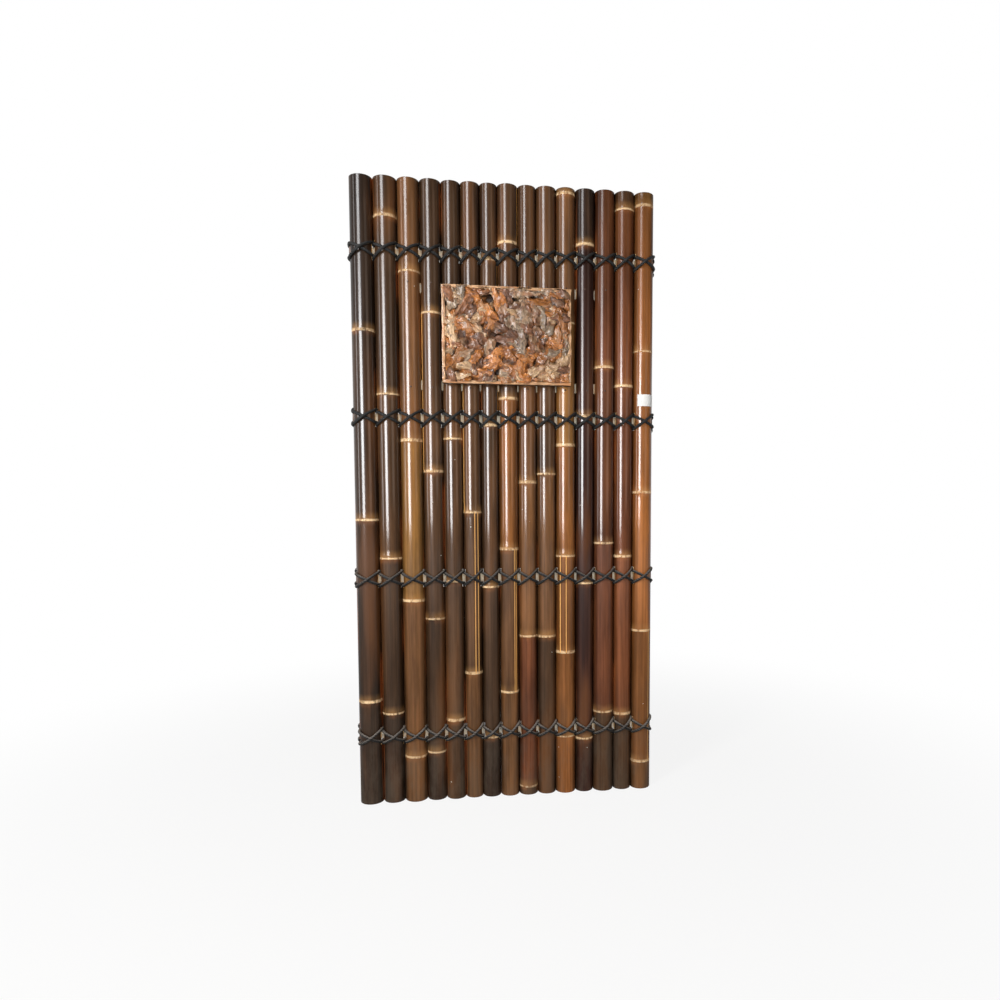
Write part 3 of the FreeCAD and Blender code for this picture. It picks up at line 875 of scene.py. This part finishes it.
# Chips that stand out: colour, place across and down, length, width, thickness in mm, turn, bend.
CHIPS = [
    ("root_tan", 0.055, 0.36, 150, 34, 16, 84, 0.0), ("root_tan", 0.10, 0.10, 70, 22, 15, 18, 0.2),
    ("root_orange", 0.31, 0.24, 62, 34, 22, 82, 0.0), ("root_grey", 0.55, 0.065, 150, 24, 16, 2, 0.2),
    ("root_brown", 0.30, 0.055, 84, 20, 15, 172, 0.0), ("root_grey", 0.60, 0.60, 120, 30, 24, 62, 0.9),
    ("root_grey", 0.84, 0.66, 96, 28, 20, 172, -0.4), ("root_orange", 0.93, 0.30, 92, 34, 17, 78, 0.0),
    ("root_orange", 0.885, 0.50, 66, 30, 22, 100, 0.3), ("root_tan", 0.955, 0.62, 80, 22, 16, 88, 0.0),
    ("root_orange", 0.83, 0.945, 112, 24, 17, 4, 0.0), ("root_orange", 0.52, 0.86, 64, 38, 24, 30, 0.0),
    ("root_orange", 0.62, 0.93, 54, 30, 22, 160, 0.0), ("root_brown", 0.385, 0.72, 44, 36, 24, 60, 0.0),
    ("root_grey", 0.17, 0.72, 76, 34, 22, 150, 0.3), ("root_tan", 0.22, 0.84, 84, 26, 20, 14, 0.0),
    ("root_orange", 0.51, 0.70, 70, 26, 22, 48, 0.0), ("root_brown", 0.13, 0.62, 54, 22, 20, 16, 0.0),
    ("root_brown", 0.72, 0.30, 92, 26, 22, 76, 0.5), ("root_grey", 0.78, 0.36, 84, 18, 22, 84, 0.0),
    ("root_brown", 0.86, 0.13, 84, 24, 22, 28, -0.4), ("root_orange", 0.19, 0.42, 66, 22, 20, 40, 0.0),
    ("root_tan", 0.12, 0.93, 70, 22, 17, 170, 0.0), ("root_tan", 0.33, 0.95, 64, 22, 17, 8, 0.0),
]
for colour, u, v, length, width, thick, angle, bend in CHIPS:
    chip = shard(length / 1000, width / 1000, thick / 1000, bend)
    lay(chip, colour, u, v, angle, dice.uniform(-16, 16), dice.uniform(-8, 8), CHIP_DEPTH)
# Smaller chips fill the field between them, strewn over an even grid.
FILL_ROWS, FILL_COLUMNS = 8, 10
FILL_COLOURS = [
    "root_brown", "root_brown", "root_orange", "root_tan", "root_grey", "root_orange",
]
for down in range(FILL_ROWS):
    for across in range(FILL_COLUMNS):
        colour = dice.choice(FILL_COLOURS)
        u = (across + 0.5 + dice.uniform(-0.4, 0.4)) / FILL_COLUMNS
        v = (down + 0.5 + dice.uniform(-0.4, 0.4)) / FILL_ROWS
        length, width = dice.uniform(0.055, 0.095), dice.uniform(0.028, 0.050)
        thick = dice.uniform(0.020, 0.032)
        chip = shard(length, width, thick, dice.uniform(-0.6, 0.6))
        angle, tilt, lean = dice.uniform(0, 180), dice.uniform(-30, 30), dice.uniform(-18, 18)
        lay(chip, colour, u, v, angle, tilt, lean, FILL_DEPTH)
field = ["root_chip_%02d" % number for number in range(1, 26)]
for index, (colour, chips) in enumerate(heaps.items()):
    heap = joined(chips, "chips_" + colour)
    heap.data.materials.clear()
    heap.data.materials.append(woods[colour])
    bpy.ops.object.shade_smooth_by_angle(angle=math.radians(32))
    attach(heap, "root")
    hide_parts(*field[index::4])


# Nails: round-headed iron nails go through the crowns of eleven canes into the two short slats.
# Their points come out at the back and are bent over on the slat.
NAIL_HEAD, NAIL_DOME, NAIL_SHANK = 0.0026, 0.42, 0.0011
NAIL_END, NAIL_POINT = 0.003, 0.010
END_PROUD, POINT_PROUD, POINT_RISE, POINT_TIP = 0.0008, 0.0018, 0.004, 0.0002
NAIL_HEIGHTS, NAIL_STRAY = (-0.009, 0.009), 0.004
CROWN_EASE, HEAD_PROUD = 0.00025, 0.0002
iron, shader, place = finish("nail_iron", 0.45, metallic=0.85)
rust = noise(place, 900, 3.0)
feed(shader, "Base Color", rust.ramp(0.4, 0.7).between(srgb(46, 44, 44), srgb(100, 71, 54)))
feed(shader, "Roughness", rust.ramp(0.3, 0.7, 0.35, 0.65))


def nail(x, z, crown, back):
    """Domed head on the crown of a cane and a bent point behind the slat."""
    bpy.ops.object.select_all(action="DESELECT")
    turn, head = (UPRIGHT, 0, 0), (x, crown, z)
    bpy.ops.mesh.primitive_uv_sphere_add(
        segments=14, ring_count=8, radius=NAIL_HEAD, location=head, rotation=turn
    )
    piece = bpy.context.object
    bpy.ops.object.mode_set(mode="EDIT")
    bpy.ops.transform.resize(value=(1, NAIL_DOME, 1), center_override=head)
    end, tip = (x, back + END_PROUD, z), (x, back + POINT_PROUD, z + POINT_RISE)
    bpy.ops.mesh.primitive_cylinder_add(
        vertices=8, radius=NAIL_SHANK, depth=NAIL_END, location=end, rotation=turn
    )
    bpy.ops.mesh.primitive_cone_add(
        vertices=8, radius1=NAIL_SHANK, radius2=POINT_TIP, depth=NAIL_POINT, location=tip
    )
    bpy.ops.object.mode_set(mode="OBJECT")
    bpy.ops.object.transform_apply(location=True, rotation=True, scale=True)
    return piece


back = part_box("relief_batten_lower")[1][1]
driven = []
for level, offset in zip(SLOT_LEVELS, NAIL_HEIGHTS):
    for number in range(SLOT_FIRST, SLOT_LAST + 1):
        z = level + offset
        x = axes[number - 1] + dice.uniform(-NAIL_STRAY, NAIL_STRAY)
        radius = cane_radius(number, CULMS[number - 1][0], z) + CROWN_EASE
        crown = SPLIT - math.sqrt(radius ** 2 - (x - axes[number - 1]) ** 2) - HEAD_PROUD
        driven.append(nail(x, z, crown, back))
nails = joined(driven, "nails")
nails.data.materials.append(iron)
bpy.ops.object.shade_smooth_by_angle(angle=math.radians(40))
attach(nails, "root")


# Label: a blank slip of white paper with faint creases, cut to a small rectangle.
# It is wrapped round the right side of the last cane and stuck down.
LABEL_LOW, LABEL_HIGH, LABEL_ROWS = 1.178, 1.213, 8
LABEL_FROM, LABEL_TO, LABEL_STEPS = math.radians(-40), math.radians(84), 28
LABEL_GAP, PAPER_THICK, MERGE_WITHIN = 0.0006, 0.0002, 1e-6
paper, shader, place = finish("label_paper", 0.55)
shader.inputs["Specular IOR Level"].default_value = 0.2
pulp = noise(place, 700, 3.0)
crease = noise(place, 60, 2.0)
sheet = pulp.ramp(0.3, 0.7).between(srgb(228, 228, 226), srgb(244, 244, 242))
feed(shader, "Base Color", sheet.mix(srgb(206, 202, 194), crease.ramp(0.6, 0.85) * 0.4))
feed(shader, "Roughness", pulp.ramp(0.3, 0.7, 0.5, 0.62))
feed(shader, "Normal", relief_bump(crease + pulp * 0.2, 0.0006, 0.5))
middle = (LABEL_LOW + LABEL_HIGH) / 2
reach = cane_radius(len(CULMS), CULMS[-1][0], middle) + LABEL_GAP
centre = Vector((axes[-1], SPLIT, LABEL_LOW))
start = centre + Vector((reach * math.sin(LABEL_FROM), -reach * math.cos(LABEL_FROM), 0))
bpy.ops.object.select_all(action="DESELECT")
bpy.ops.mesh.primitive_plane_add(size=0.001, location=start)
label = bpy.context.object
bpy.ops.object.mode_set(mode="EDIT")
bpy.ops.mesh.select_mode(type="VERT")
bpy.ops.mesh.select_all(action="SELECT")
bpy.ops.mesh.merge(type="CENTER")
step = {"value": (0, 0, (LABEL_HIGH - LABEL_LOW) / LABEL_ROWS)}
for row in range(LABEL_ROWS):
    bpy.ops.mesh.extrude_region_move(TRANSFORM_OT_translate=step)
bpy.ops.mesh.select_all(action="SELECT")
# Spin turns the other way, so the angle is given from the end to the start.
turn = LABEL_FROM - LABEL_TO
bpy.ops.mesh.spin(steps=LABEL_STEPS, angle=turn, center=centre, axis=(0, 0, 1))
bpy.ops.mesh.select_all(action="SELECT")
bpy.ops.mesh.remove_doubles(threshold=MERGE_WITHIN)
bpy.ops.mesh.normals_make_consistent(inside=False)
bpy.ops.object.mode_set(mode="OBJECT")
bpy.ops.object.transform_apply(location=True, rotation=True, scale=True)
label.name = "paper_label"
thin = label.modifiers.new("paper", "SOLIDIFY")
thin.thickness = PAPER_THICK
apply_all(label)
bpy.ops.object.shade_smooth_by_angle(angle=math.radians(40))
label.data.materials.append(paper)
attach(label, "root")
